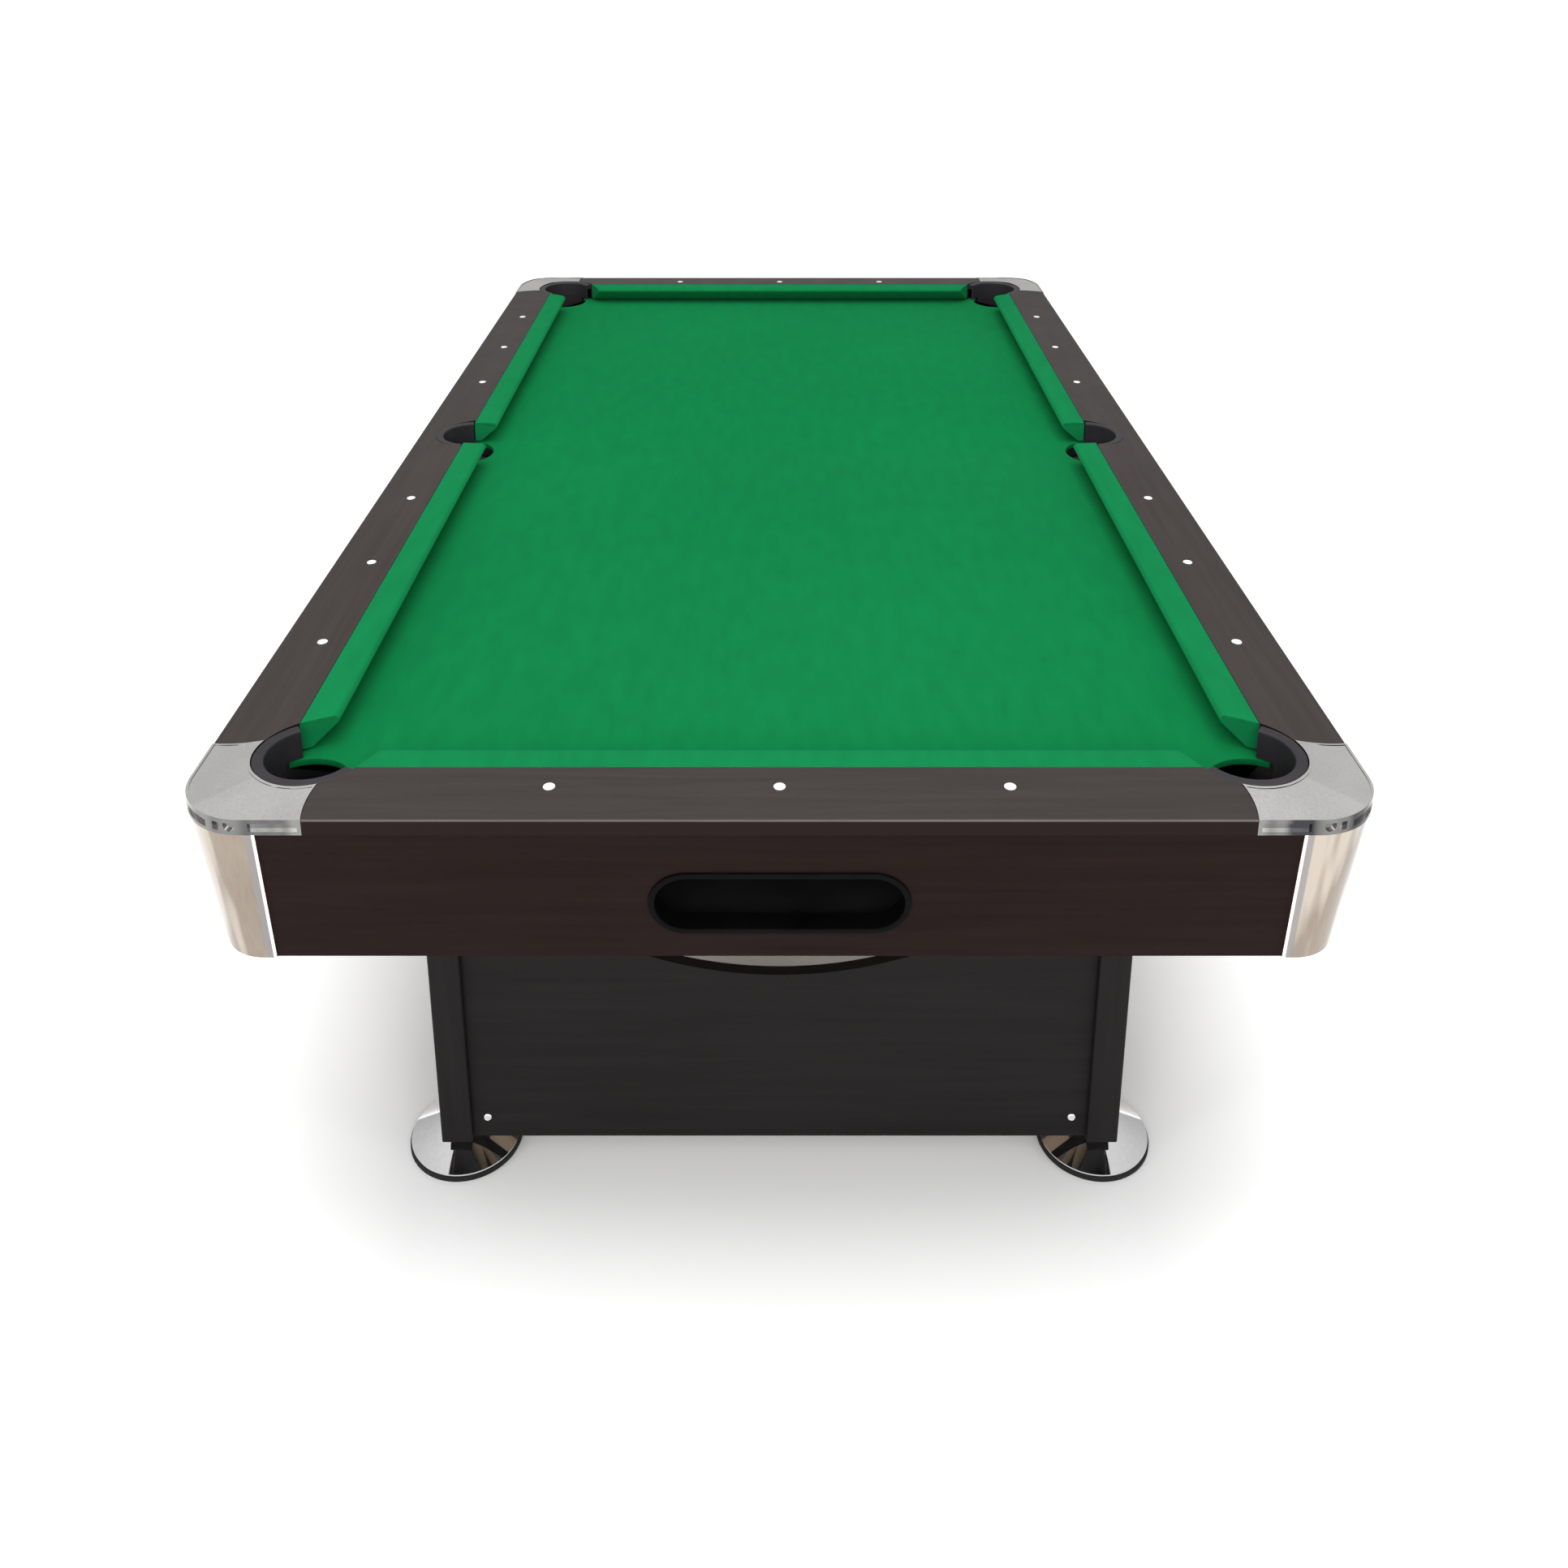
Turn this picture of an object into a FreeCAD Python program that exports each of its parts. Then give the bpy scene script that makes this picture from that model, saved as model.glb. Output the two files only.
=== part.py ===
import FreeCAD, Part
import math
import operator
import os
import Sketcher

# An eight-foot pool table. Millimetres, +Z up, origin on the floor under the middle of the bed.
# +Y is the long axis, and the end with the ball return faces -Y.

driving = {
    # playing field, measured between the cushion noses
    "playWidth": 1160, "playLength": 2280, "tableHeight": 800, "bedHeight": 757,
    # rails, which fall towards their outer edge
    "railWidth": 100, "railFall": 7, "railEdge": 20, "railFoot": 74, "railRound": 3, "railSpare": 12,
    # cushions: a cloth skin over a rubber nose
    "cushionDepth": 46, "noseDrop": 8, "noseTopRun": 5, "noseFall": 1, "noseHeel": 34, "heelRise": 4,
    "skinThickness": 1,
    # bed
    "clothThickness": 1.5, "slabThickness": 25, "slabMargin": 24, "clothMargin": 10,
    # pockets
    "pocketBore": 58, "linerWall": 4, "rimWidth": 16, "sideRimWidth": 14, "rimHeight": 12, "rimBelow": 2,
    "cornerOffset": 10, "sideOffset": 38, "cornerShelf": 18, "sideShelf": 24, "bedCutSpare": 6,
    "cornerMouth": 80, "cornerFacing": 24, "sideMouth": 60, "sideFacing": 1,
    "funnelDrop": 22, "dropRadius": 34, "collarHeight": 6, "rimSweep": 208, "sideRimSweep": 160,
    "rimSkirt": 2, "cornerTurn": 225, "sideTurn": 180,
    # sights
    "sightRadius": 7.5, "sightHeight": 3.6, "sightSink": 3, "sightRound": 0.9, "sightPitch": 280,
    "sightInset": 37, "sightNear": 330, "sightStep": 266,
    # aprons, leaning in towards their lower edge
    "apronBottom": 578, "apronThickness": 18, "apronLean": 25, "apronSetIn": 5, "apronReach": 94,
    # corner castings and shrouds
    "capReach": 163, "cornerRadius": 90, "capWall": 6, "capPlate": 9, "capRise": 1, "capEndRadius": 142,
    "beadWidth": 3.5, "beadHeight": 0.8, "shroudReach": 106, "shroudThickness": 3, "shroudGap": 0.5,
    # windows sunk in the side strip of a corner casting; the angles count from the front of the bend
    "windowLength": 58, "windowHeight": 11, "windowEnd": 5, "windowSill": 4.5, "windowDepth": 4,
    "archedWidth": 14, "archedAngle": 8, "squareSweep": 7, "squareAngle": 18.5, "cornerSweep": 32,
    "halfCorner": 45,
    "bracketThickness": 12, "bracketReach": 150, "bracketInset": 12,
    # ball return opening in the front apron
    "slotWidth": 304, "slotHeight": 80, "slotCentre": 664, "bezelFlange": 8, "bezelProud": 3,
    "bezelWall": 2.5, "bezelDepth": 24, "bezelGap": 3, "bezelRound": 1.5, "bezelSeat": 0.1,
    # ball gutters and tray
    "gutterWidth": 64, "gutterWall": 3, "gutterSide": 30, "gutterSetOut": 35, "gutterBack": 646,
    "gutterFront": 624, "runLow": 615, "trayFloor": 611, "trayWidth": 340, "trayDepth": 160, "trayWall": 3,
    "trayRim": 690, "trayLip": 8,
    # bed frame
    "ribDepth": 68, "plankThickness": 22.5, "beamWidth": 60, "midBeam": 320, "sideBeamThickness": 45,
    "sideBeamEnd": 6,
    # legs
    "legSpread": 505, "legWidth": 46, "legDepth": 120, "legSetBack": 264, "legBottom": 50, "legRound": 3,
    "panelThickness": 18, "panelRecess": 12, "archRadius": 560, "archLow": 341,
    "cleatWidth": 40, "cleatDepth": 30, "cleatLow": 60, "cleatHigh": 540,
    "boltInset": 23, "boltLow": 88, "boltHigh": 500, "boltRadius": 4, "boltHead": 6.5, "boltHeadHeight": 5,
    "boltDome": 3,
    # levelling feet
    "footRadius": 83, "padRadius": 85, "padHeight": 9, "padRound": 2, "hubRadius": 24, "hubHeight": 8,
    "dishWall": 2.5, "dishEdge": 3, "stemRadius": 8, "stemReach": 62, "stemFlange": 13, "flangeHeight": 3,
    "stemChamfer": 1, "stemRoom": 7.5, "insertRadius": 12, "insertHeight": 30,
    # rail bolts
    "railBoltInset": 17, "railBoltHead": 8, "railBoltHeadHeight": 6, "railBoltRise": 28,
    "railBoltEnd": 330, "railBoltNear": 180, "railBoltStep": 340,
    # fits
    "fitGap": 0.3, "runningGap": 0.06, "boltGap": 0.3, "looseGap": 1.5,
    # how far one shape runs into or past another where they are joined or cut
    "cutPast": 1,
}


class Size:
    # a length together with the expression that ties it to the sheet

    def __init__(self, text, value):
        self.text = text
        self.value = value

    def joined(self, sign, other, work):
        other = asSize(other)
        return Size("(" + self.text + " " + sign + " " + other.text + ")", work(self.value, other.value))

    def __add__(self, other):
        return self.joined("+", other, operator.add)

    def __sub__(self, other):
        return self.joined("-", other, operator.sub)

    def __mul__(self, other):
        return self.joined("*", other, operator.mul)

    def __truediv__(self, other):
        return self.joined("/", other, operator.truediv)

    def __rsub__(self, other):
        return asSize(other) - self

    def __rmul__(self, other):
        return asSize(other) * self

    def __neg__(self):
        return asSize(0) - self


def asSize(number):
    return number if isinstance(number, Size) else Size(repr(float(number)), float(number))


def root(size):
    return Size("sqrt(" + size.text + ")", math.sqrt(size.value))


def leanAngle(run, rise):
    ratio = run / rise
    return Size("atan(" + ratio.text + ")", math.degrees(math.atan(ratio.value)))


def makeSheet(doc):
    sheet = doc.addObject("Spreadsheet::Sheet", "Sizes")
    for row, (name, value) in enumerate(driving.items(), 1):
        sheet.set("A%d" % row, name)
        sheet.set("B%d" % row, str(value))
        sheet.setAlias("B%d" % row, name)
    doc.recompute()
    return {name: Size("Sizes." + name, float(value)) for name, value in driving.items()}


doc = FreeCAD.newDocument("PoolTable")
pickWithin = 0.05
size = makeSheet(doc)
pockets = []

# places that several pieces share
past = size["cutPast"]
noseX = size["playWidth"] / 2
noseY = size["playLength"] / 2
railX = noseX + size["cushionDepth"]
railY = noseY + size["cushionDepth"]
outerX = railX + size["railWidth"]
outerY = railY + size["railWidth"]
top = size["tableHeight"]
bed = size["bedHeight"]
slabTop = bed - size["clothThickness"]
slabUnder = slabTop - size["slabThickness"]
slabX = railX + size["slabMargin"]
slabY = railY + size["slabMargin"]
skirtTop = top - size["railFall"] - size["railEdge"]
plankUnder = slabUnder - size["plankThickness"]
ribUnder = plankUnder - size["ribDepth"]
cornerX = noseX + size["cornerOffset"]
cornerY = noseY + size["cornerOffset"]
sideX = noseX + size["sideOffset"]
rimOuter = size["pocketBore"] + size["rimWidth"]
sideRimOuter = size["pocketBore"] + size["sideRimWidth"]
rimTop = top - size["rimBelow"]
rimUnder = rimTop - size["rimHeight"]
capX = outerX - size["capReach"]
capY = outerY - size["capReach"]
legInner = size["legSpread"] - size["legWidth"]
legX = size["legSpread"] - size["legWidth"] / 2
legFront = outerY - size["legSetBack"]
legY = legFront - size["legDepth"] / 2
gutterX = noseX + size["gutterSetOut"]
gutterHalf = size["gutterWidth"] / 2
gutterOuterHalf = gutterHalf + size["gutterWall"]
sideBeamX = gutterX - gutterOuterHalf
panelFront = legFront - size["panelRecess"]
panelBack = panelFront - size["panelThickness"]
boltX = legInner - size["boltInset"]


def apronFace(outer, height):
    # the outer face of an apron at a height; the faces come closer together lower down
    drop = (skirtTop - height) / (skirtTop - size["apronBottom"])
    return outer - size["apronSetIn"] - size["apronLean"] * drop


# the ball runs lie just behind the front apron
trayUnder = size["trayFloor"] - size["trayWall"]
runFront = apronFace(outerY, trayUnder) - size["apronThickness"] - size["fitGap"]
runMiddle = runFront - gutterOuterHalf
runBack = runMiddle - gutterOuterHalf


def newBody(label):
    body = doc.addObject("PartDesign::Body", label)
    body.Label = label
    return body


def bind(target, path, value):
    target.setExpression(path, asSize(value).text)


def near(value, target):
    # edges and faces are picked out by where they lie, to a twentieth of a millimetre
    return abs(value - target.value) < pickWithin


def vector(x, y):
    return FreeCAD.Vector(asSize(x).value, asSize(y).value, 0)


def arcBetween(start, end, radius, turn):
    # turn is 1 for an arc that bends left on its way and -1 for one that bends right
    chord = end - start
    away = math.sqrt(max(radius ** 2 - (chord.Length / 2) ** 2, 0))
    left = FreeCAD.Vector(-chord.y, chord.x, 0).normalize()
    centre = (start + end) / 2 + left * away * turn
    first, last = (start, end) if turn > 0 else (end, start)
    angles = [math.atan2(p.y - centre.y, p.x - centre.x) for p in (first, last)]
    if angles[1] <= angles[0]:
        angles[1] += 2 * math.pi
    return Part.ArcOfCircle(Part.Circle(centre, FreeCAD.Vector(0, 0, 1), radius), *angles)


def addLength(sketch, constraint, value):
    bind(sketch, "Constraints[%d]" % sketch.addConstraint(constraint), value)


def drawOutline(sketch, outline):
    # a corner is (x, y), or (x, y, radius, turn) when the edge that leaves it is an arc
    offset = sketch.GeometryCount
    ends = []
    for place, corner in enumerate(outline):
        following = outline[(place + 1) % len(outline)]
        start = vector(*corner[:2])
        end = vector(*following[:2])
        if len(corner) == 4:
            edge = sketch.addGeometry(arcBetween(start, end, corner[2].value, corner[3]), False)
            addLength(sketch, Sketcher.Constraint("Radius", edge, corner[2].value), corner[2])
            ends.append((1, 2) if corner[3] > 0 else (2, 1))
        else:
            sketch.addGeometry(Part.LineSegment(start, end), False)
            ends.append((1, 2))
    for place, corner in enumerate(outline):
        edge = offset + place
        before = (place - 1) % len(outline)
        first = ends[place][0]
        meeting = Sketcher.Constraint("Coincident", offset + before, ends[before][1], edge, first)
        sketch.addConstraint(meeting)
        for kind, value in (("DistanceX", corner[0]), ("DistanceY", corner[1])):
            addLength(sketch, Sketcher.Constraint(kind, -1, 1, edge, first, asSize(value).value), value)


def drawCircle(sketch, x, y, radius):
    circle = Part.Circle(vector(x, y), FreeCAD.Vector(0, 0, 1), asSize(radius).value)
    edge = sketch.addGeometry(circle, False)
    for kind, value in (("DistanceX", x), ("DistanceY", y)):
        addLength(sketch, Sketcher.Constraint(kind, -1, 1, edge, 3, asSize(value).value), value)
    addLength(sketch, Sketcher.Constraint("Radius", edge, asSize(radius).value), radius)


def addSketch(body, plane, level, outlines):
    # outlines are lists of corners, or (x, y, radius) tuples for circles; level runs along +X, +Y or +Z
    sketch = body.newObject("Sketcher::SketchObject", body.Name + "_sketch")
    support = [item for item in body.Origin.OriginFeatures if item.Role == plane][0]
    sketch.AttachmentSupport = [(support, "")]
    sketch.MapMode = "FlatFace"
    bind(sketch, "AttachmentOffset.Base.z", -asSize(level) if plane == "XZ_Plane" else asSize(level))
    for outline in outlines:
        if isinstance(outline, tuple):
            drawCircle(sketch, *outline)
        else:
            drawOutline(sketch, outline)
    return sketch


def extrude(body, kind, plane, outlines, low, high):
    sketch = addSketch(body, plane, low, outlines)
    feature = body.newObject("PartDesign::" + kind, body.Name + "_" + kind.lower())
    feature.Profile = sketch
    bind(feature, "Length", asSize(high) - low)
    towardsNormal = plane != "XZ_Plane"
    feature.Reversed = towardsNormal if kind == "Pocket" else not towardsNormal
    if kind == "Pocket":
        pockets.append(feature)
    return feature


def pad(body, plane, outlines, low, high):
    return extrude(body, "Pad", plane, outlines, low, high)


def pocket(body, plane, outlines, low, high):
    return extrude(body, "Pocket", plane, outlines, low, high)


def revolve(body, outline, sweep=None):
    # the outline is in radius and height, and turns about the body's own Z axis
    sketch = addSketch(body, "XZ_Plane", 0, [outline])
    feature = body.newObject("PartDesign::Revolution", body.Name + "_revolution")
    feature.Profile = sketch
    feature.ReferenceAxis = (sketch, ["V_Axis"])
    feature.Midplane = sweep is not None
    bind(feature, "Angle", 360 if sweep is None else sweep)
    return feature


def loft(body, kind, plane, sections):
    # sections are (level, outline) pairs
    sketches = [addSketch(body, plane, level, [outline]) for level, outline in sections]
    feature = body.newObject("PartDesign::" + kind, body.Name + "_loft")
    feature.Profile = sketches[0]
    feature.Sections = sketches[1:]
    feature.Ruled = True
    return feature


def roundEdges(body, radius, chosen):
    doc.recompute()
    base = body.Tip
    edges = ["Edge%d" % n for n, edge in enumerate(base.Shape.Edges, 1) if chosen(edge)]
    feature = body.newObject("PartDesign::Fillet", body.Name + "_fillet")
    feature.Base = (base, edges)
    bind(feature, "Radius", radius)
    return feature


def rectangle(left, low, right, high):
    return [(left, low), (right, low), (right, high), (left, high)]


def place(target, x, y, z, turn=0, axis=(0, 0, 1)):
    target.Placement = FreeCAD.Placement(FreeCAD.Vector(), FreeCAD.Rotation(FreeCAD.Vector(*axis), 1))
    for path, value in (("Base.x", x), ("Base.y", y), ("Base.z", z), ("Rotation.Angle", turn)):
        bind(target, "Placement." + path, value)


def mirror(source, label, normal):
    copy = doc.addObject("Part::Mirroring", label)
    copy.Label = label
    copy.Source = source
    copy.Normal = FreeCAD.Vector(*normal)
    return copy


def leftAndRight(left, name):
    return [left, mirror(left, name + "_right", (1, 0, 0))]


def fourCorners(frontLeft, name):
    frontRight = mirror(frontLeft, name + "_front_right", (1, 0, 0))
    backLeft = mirror(frontLeft, name + "_back_left", (0, 1, 0))
    backRight = mirror(frontRight, name + "_back_right", (0, 1, 0))
    return [frontLeft, frontRight, backLeft, backRight]


def gather(label, pieces):
    group = doc.addObject("Part::Compound", label)
    group.Label = label
    group.Links = pieces
    return group


def subtract(label, base, tool):
    cut = doc.addObject("Part::Cut", label)
    cut.Label = label
    cut.Base = base
    cut.Tool = tool
    return cut


def bedOutline(halfX, halfY):
    return [rectangle(-halfX, -halfY, halfX, halfY)]


def bedCuts():
    # six round cuts that leave a short shelf in front of each pocket
    shelf = size["cornerShelf"] / math.sqrt(2)
    cut = size["pocketBore"] + size["bedCutSpare"]
    cuts = [(side * (sideX + size["sideShelf"]), 0, cut) for side in (-1, 1)]
    for x in (-1, 1):
        for y in (-1, 1):
            cuts.append((x * (cornerX + shelf), y * (cornerY + shelf), cut))
    return cuts


def bedSlab():
    body = newBody("bed_slab")
    pad(body, "XY_Plane", bedOutline(slabX, slabY), slabUnder, slabTop)
    pocket(body, "XY_Plane", bedCuts(), slabUnder, slabTop)
    shelf = size["cornerShelf"] / math.sqrt(2)
    corners = []
    for x in (-1, 1):
        for y in (-1, 1):
            start = (x * (cornerX + shelf), y * (cornerY + shelf))
            corners.append(rectangle(*start, x * (slabX + past), y * (slabY + past)))
    pocket(body, "XY_Plane", corners, slabUnder, slabTop)
    holes = [(x, y, size["boltRadius"] + size["boltGap"]) for x, y in railBoltPlaces()]
    pocket(body, "XY_Plane", holes, slabUnder, slabTop)
    return body


def bedCloth():
    body = newBody("bed_cloth")
    edgeX = railX + size["clothMargin"]
    edgeY = railY + size["clothMargin"]
    pad(body, "XY_Plane", bedOutline(edgeX, edgeY), slabTop, bed)
    pocket(body, "XY_Plane", bedCuts(), slabTop, bed)
    return body


def railBoltPlaces():
    endY = railY + size["railBoltInset"]
    sideLine = railX + size["railBoltInset"]
    places = [(x * size["railBoltEnd"], y * endY) for y in (-1, 1) for x in (-1, 0, 1)]
    for step in range(3):
        along = size["railBoltNear"] + step * size["railBoltStep"]
        places += [(x * sideLine, y * along) for x in (-1, 1) for y in (-1, 1)]
    return places


def railBolts():
    body = newBody("rail_bolts")
    places = railBoltPlaces()
    headLow = slabUnder - size["railBoltHeadHeight"]
    pad(body, "XY_Plane", [(x, y, size["railBoltHead"]) for x, y in places], headLow, slabUnder)
    shanks = [(x, y, size["boltRadius"]) for x, y in places]
    pad(body, "XY_Plane", shanks, slabUnder, bed + size["railBoltRise"] - size["fitGap"])
    return body


def railProfile(inner, outer):
    # from the cushion's face outwards, on the negative side of its axis
    foot = inner + size["railFoot"]
    return [(-inner, bed), (-inner, top), (-outer, top - size["railFall"]), (-outer, skirtTop),
            (-foot, skirtTop), (-foot, bed)]


def sightPlaces():
    endY = railY + size["sightInset"]
    sideLine = railX + size["sightInset"]
    places = [(x * size["sightPitch"], y * endY) for y in (-1, 1) for x in (-1, 0, 1)]
    for step in range(3):
        along = size["sightNear"] + step * size["sightStep"]
        places += [(x * sideLine, y * along) for x in (-1, 1) for y in (-1, 1)]
    return places


def sightLevel():
    return top - size["railFall"] * size["sightInset"] / size["railWidth"]


def finishRail(body, holes, sights, edgeAxis, edgePlace):
    # bolt holes from below, sight holes from above and a rounded outer edge
    bolts = [(x, y, size["boltRadius"] + size["boltGap"]) for x, y in holes]
    pocket(body, "XY_Plane", bolts, bed, bed + size["railBoltRise"])
    seats = [(x, y, size["sightRadius"] + size["fitGap"] / 2) for x, y in sights]
    pocket(body, "XY_Plane", seats, sightLevel() - size["sightSink"], top)

    def outerTopEdge(edge):
        middle = edge.CenterOfMass
        long = edge.Length > size["railWidth"].value
        return long and near(abs(middle[edgeAxis]), edgePlace) and near(middle.z, top - size["railFall"])

    roundEdges(body, size["railRound"], outerTopEdge)


def capMeeting(cap, corner, other, radius):
    # where the end line of a casting meets the circle about the pocket
    return other + root(radius * radius - (corner - cap) * (corner - cap))


def railFront():
    body = newBody("rail_front")
    reach = capX + size["railSpare"]
    pad(body, "YZ_Plane", [railProfile(railY, outerY)], -reach, reach)
    clear = rimOuter + size["fitGap"]
    pocket(body, "XY_Plane", [(x * cornerX, -cornerY, clear) for x in (-1, 1)], bed, top)
    inner = capMeeting(capX, cornerX, cornerY, clear)
    ends = []
    for side in (-1, 1):
        end = side * (capX - size["fitGap"])
        far = side * (reach + past)
        bow = (end, -inner, size["capEndRadius"], -side)
        ends.append([bow, (end, -outerY), (far, -outerY), (far, -inner)])
    pocket(body, "XY_Plane", ends, bed, top)
    finishRail(body, railBoltPlaces()[:3], sightPlaces()[:3], 1, outerY)
    return body


def railLeft():
    body = newBody("rail_left")
    reach = capY + size["railSpare"]
    pad(body, "XZ_Plane", [railProfile(railX, outerX)], -reach, reach)
    clear = rimOuter + size["fitGap"]
    pocket(body, "XY_Plane", [(-cornerX, y * cornerY, clear) for y in (-1, 1)], bed, top)
    pocket(body, "XY_Plane", [(-sideX, 0, sideRimOuter + size["fitGap"])], bed, top)
    inner = capMeeting(capY, cornerY, cornerX, clear)
    ends = []
    for side in (-1, 1):
        end = side * (capY - size["fitGap"])
        far = side * (reach + past)
        bow = (-inner, end, size["capEndRadius"], side)
        ends.append([bow, (-outerX, end), (-outerX, far), (-inner, far)])
    pocket(body, "XY_Plane", ends, bed, top)
    holes = [(x, y) for x, y in railBoltPlaces()[6:] if x.value < 0]
    sights = [(x, y) for x, y in sightPlaces()[6:] if x.value < 0]
    finishRail(body, holes, sights, 0, outerX)
    return body


def railSights():
    body = newBody("rail_sights")
    low = sightLevel() - size["sightSink"]
    places = [(x, y, size["sightRadius"]) for x, y in sightPlaces()]
    pad(body, "XY_Plane", places, low, low + size["sightHeight"])
    crown = low + size["sightHeight"]
    roundEdges(body, size["sightRound"], lambda edge: near(edge.CenterOfMass.z, crown))
    return body


def cushionProfile(nose, rail, skin):
    # across a cushion on the negative side, drawn in by the skin's thickness
    peak = top - skin
    bottom = bed + size["heelRise"] + skin
    noseZ = top - size["noseDrop"]
    run = size["noseTopRun"]
    face = nose + skin
    return [(-rail, bottom), (-rail, peak), (-(face + run), peak - size["noseFall"]), (-face, noseZ),
            (-(face + run / 2), noseZ - size["noseDrop"] / 2), (-(face + size["noseHeel"]), bottom)]


def facingCut(nose, rail, mouth, back, beyond):
    # removes what lies past a cushion's slanted end, on the negative side of its axis
    inner = -(nose - past)
    outer = -(rail + past)
    return [(inner, mouth), (inner, beyond), (outer, beyond), (outer, back)]


def cushionBody(label, along, skin):
    # along is "X" for an end cushion and "Y" for the front half of a side cushion
    body = newBody(label)
    thick = size["skinThickness"] * skin
    mouth = size["cornerMouth"]
    back = mouth - size["cornerFacing"]
    if along == "X":
        end = noseX - back
        pad(body, "YZ_Plane", [cushionProfile(noseY, railY, thick)], -end, end)
        cuts = []
        for side in (-1, 1):
            front = side * (noseX - mouth - thick)
            corners = facingCut(noseY, railY, front, side * (end - thick), side * (end + past))
            cuts.append([(x, y) for y, x in corners])
        pocket(body, "XY_Plane", cuts, bed, top)
        return body
    end = noseY - back
    sideMouth = size["sideMouth"]
    sideBack = sideMouth - size["sideFacing"]
    pad(body, "XZ_Plane", [cushionProfile(noseX, railX, thick)], -end, -sideBack)
    cornerEnd = facingCut(noseX, railX, -(noseY - mouth - thick), -(end - thick), -(end + past))
    sideEnd = facingCut(noseX, railX, -(sideMouth + thick), -(sideBack + thick), -(sideBack - past))
    pocket(body, "XY_Plane", [cornerEnd], bed, top)
    pocket(body, "XY_Plane", [sideEnd], bed, top)
    return body


def cushions():
    frontRubber = cushionBody("front_rubber", "X", 1)
    leftRubber = cushionBody("left_rubber", "Y", 1)
    backRubber = mirror(frontRubber, "back_rubber", (0, 1, 0))
    leftBackRubber = mirror(leftRubber, "left_back_rubber", (0, 1, 0))
    sideRubbers = [leftRubber, leftBackRubber]
    sideRubbers += [mirror(piece, piece.Label + "_right", (1, 0, 0)) for piece in sideRubbers[:2]]
    rubbers = gather("cushion_rubbers", [frontRubber, backRubber] + sideRubbers)
    frontCloth = subtract("cushion_cloth_front", cushionBody("front_cushion", "X", 0), frontRubber)
    backCloth = mirror(frontCloth, "cushion_cloth_back", (0, 1, 0))
    leftCloth = subtract("left_front_cloth", cushionBody("left_cushion", "Y", 0), leftRubber)
    leftPair = gather("cushion_cloth_left", [leftCloth, mirror(leftCloth, "left_back_cloth", (0, 1, 0))])
    return [rubbers, frontCloth, backCloth] + leftAndRight(leftPair, "cushion_cloth")


def liner(label, rim, sweep, wallSweep, dropX, dropY):
    # a moulded pocket: rim, back wall, collar under the bed and a funnel over the gutter; +X is outwards
    body = newBody(label)
    bore = size["pocketBore"]
    wall = bore + size["linerWall"]
    soft = size["railRound"]
    skirt = bed + size["rimSkirt"]
    revolve(body, [(bore, skirt), (wall, skirt), (wall, rimUnder), (rim, rimUnder),
                   (rim, rimTop - soft, soft, 1), (rim - soft, rimTop), (bore + soft, rimTop, soft, 1),
                   (bore, rimTop - soft)], sweep)
    collarTop = slabUnder - size["fitGap"]
    collarLow = collarTop - size["collarHeight"]
    revolve(body, rectangle(bore, collarTop - past, wall, skirt + past), wallSweep)
    pad(body, "XY_Plane", [(0, 0, wall), (0, 0, bore)], collarLow, collarTop)
    drop = size["dropRadius"]
    low = collarLow - size["funnelDrop"]
    outside = (low, (dropX, dropY, drop + size["linerWall"]))
    loft(body, "AdditiveLoft", "XY_Plane", [(collarLow, (0, 0, wall)), outside])
    loft(body, "SubtractiveLoft", "XY_Plane", [(collarLow, (0, 0, bore)), (low, (dropX, dropY, drop))])
    return body


def pocketLiners():
    # each is drawn about its own axis, facing +X, and turned into place
    slant = (gutterX - cornerX) / math.sqrt(2)
    wallSweep = size["sideRimSweep"]
    corner = liner("pocket_liner_front_left", rimOuter, size["rimSweep"], wallSweep, slant, -slant)
    place(corner, -cornerX, -cornerY, 0, size["cornerTurn"])
    side = liner("pocket_liner_side_left", sideRimOuter, wallSweep, wallSweep, gutterX - sideX, 0)
    place(side, -sideX, 0, 0, size["sideTurn"])
    return fourCorners(corner, "pocket_liner") + leftAndRight(side, "pocket_liner_side")


def apronOutline(outer, thickness):
    high = apronFace(outer, skirtTop)
    low = apronFace(outer, size["apronBottom"])
    return [(-high, skirtTop), (-low, size["apronBottom"]), (-(low - thickness), size["apronBottom"]),
            (-(high - thickness), skirtTop)]


def stadium(width, height, centre):
    # quarter arcs, so that each end is two of them
    radius = height / 2
    straight = width / 2 - radius
    end = width / 2
    return [(-straight, centre - radius), (straight, centre - radius, radius, 1), (end, centre, radius, 1),
            (straight, centre + radius), (-straight, centre + radius, radius, 1), (-end, centre, radius, 1)]


def endApron(name):
    body = newBody(name)
    end = outerX - size["apronReach"]
    pad(body, "YZ_Plane", [apronOutline(outerY, size["apronThickness"])], -end, end)
    return body


def aprons():
    front = endApron("apron_front")
    wide = 2 * (size["bezelWall"] + size["bezelGap"])
    opening = stadium(size["slotWidth"] + wide, size["slotHeight"] + wide, size["slotCentre"])
    pocket(front, "XZ_Plane", [opening], -outerY, -legFront)
    back = mirror(endApron("plain_apron"), "apron_back", (0, 1, 0))
    left = newBody("apron_left")
    end = outerY - size["apronReach"]
    pad(left, "XZ_Plane", [apronOutline(outerX, size["apronThickness"])], -end, end)
    return [front, back] + leftAndRight(left, "apron")


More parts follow.
